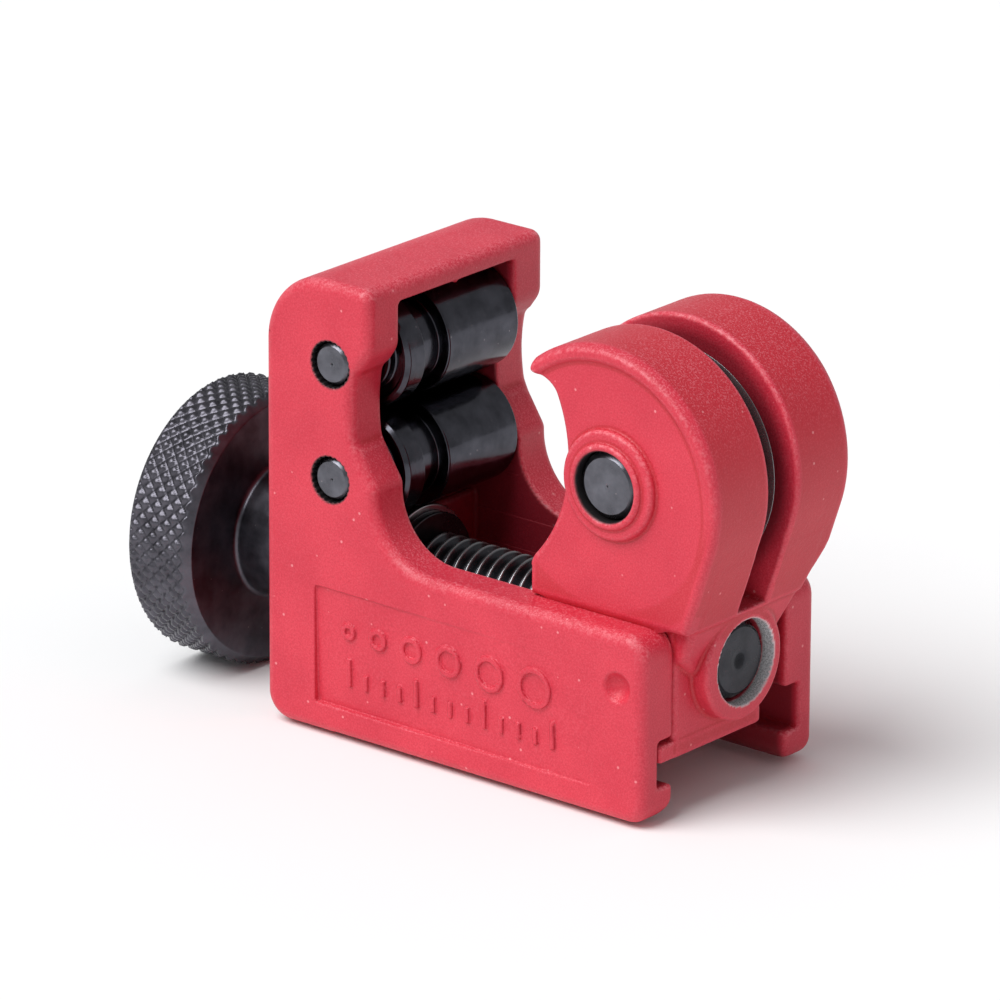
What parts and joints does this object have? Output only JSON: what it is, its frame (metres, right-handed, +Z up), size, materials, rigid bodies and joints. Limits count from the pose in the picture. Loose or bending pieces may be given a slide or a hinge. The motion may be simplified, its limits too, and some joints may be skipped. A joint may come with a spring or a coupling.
{
  "type": "pipe cutter",
  "caption": "Small screw-feed tube cutter: cast frame with two rollers, and a sliding cheek with a cutting wheel drawn in by a knurled knob.",
  "frame": {"origin": "middle of the tool's box, at the height of the knob's lowest point, at the pose shown", "axes": "+X along the feed screw from the knob to the slide, +Y along the tube, +Z up from the frame's underside"},
  "size_m": [0.0512, 0.0204, 0.0337],
  "materials": {
    "red_paint": "satin crimson powder coat over a zinc casting, with a fine sand texture",
    "black_steel": "turned steel with a glossy black oxide finish",
    "knob_steel": "diamond knurled steel with a black oxide finish",
    "pin_steel": "dark ground pin steel",
    "wheel_steel": "hardened tool steel, black oxide with a bright ground edge",
    "bright_steel": "plain zinc-plated steel"
  },
  "bodies": {
    "frame": {"frame": "red_paint", "roller_pin_upper": "pin_steel", "roller_pin_lower": "pin_steel"},
    "roller_upper": {"roller_upper": "black_steel"},
    "roller_lower": {"roller_lower": "black_steel"},
    "knob": {"knob": "knob_steel", "feed_screw": "black_steel", "thrust_washer": "bright_steel", "retaining_ring": "black_steel"},
    "slide": {"slide": "red_paint", "wheel_pin": "pin_steel"},
    "cutter_wheel": {"cutter_wheel": "wheel_steel"}
  },
  "joints": [
    {"name": "knob_turn", "type": "hinge", "parent": "frame", "child": "knob", "pos_m": [-0.013, 0, 0.0102], "axis": [1, 0, 0], "range_deg": [-1728, 3600]},
    {"name": "slide_travel", "type": "slide", "parent": "frame", "child": "slide", "axis": [1, 0, 0], "range_m": [-0.01, 0.0048]},
    {"name": "wheel_spin", "type": "hinge", "parent": "slide", "child": "cutter_wheel", "pos_m": [0.0165, 0, 0.0237], "axis": [0, 1, 0], "continuous": true},
    {"name": "roller_upper_spin", "type": "hinge", "parent": "frame", "child": "roller_upper", "pos_m": [-0.0069, 0, 0.02772], "axis": [0, 1, 0], "continuous": true},
    {"name": "roller_lower_spin", "type": "hinge", "parent": "frame", "child": "roller_lower", "pos_m": [-0.0069, 0, 0.01928], "axis": [0, 1, 0], "continuous": true}
  ],
  "couplings": [
    {"joint": "knob_turn", "follows": "slide_travel", "rad_per_m": -6283.2}
  ]
}
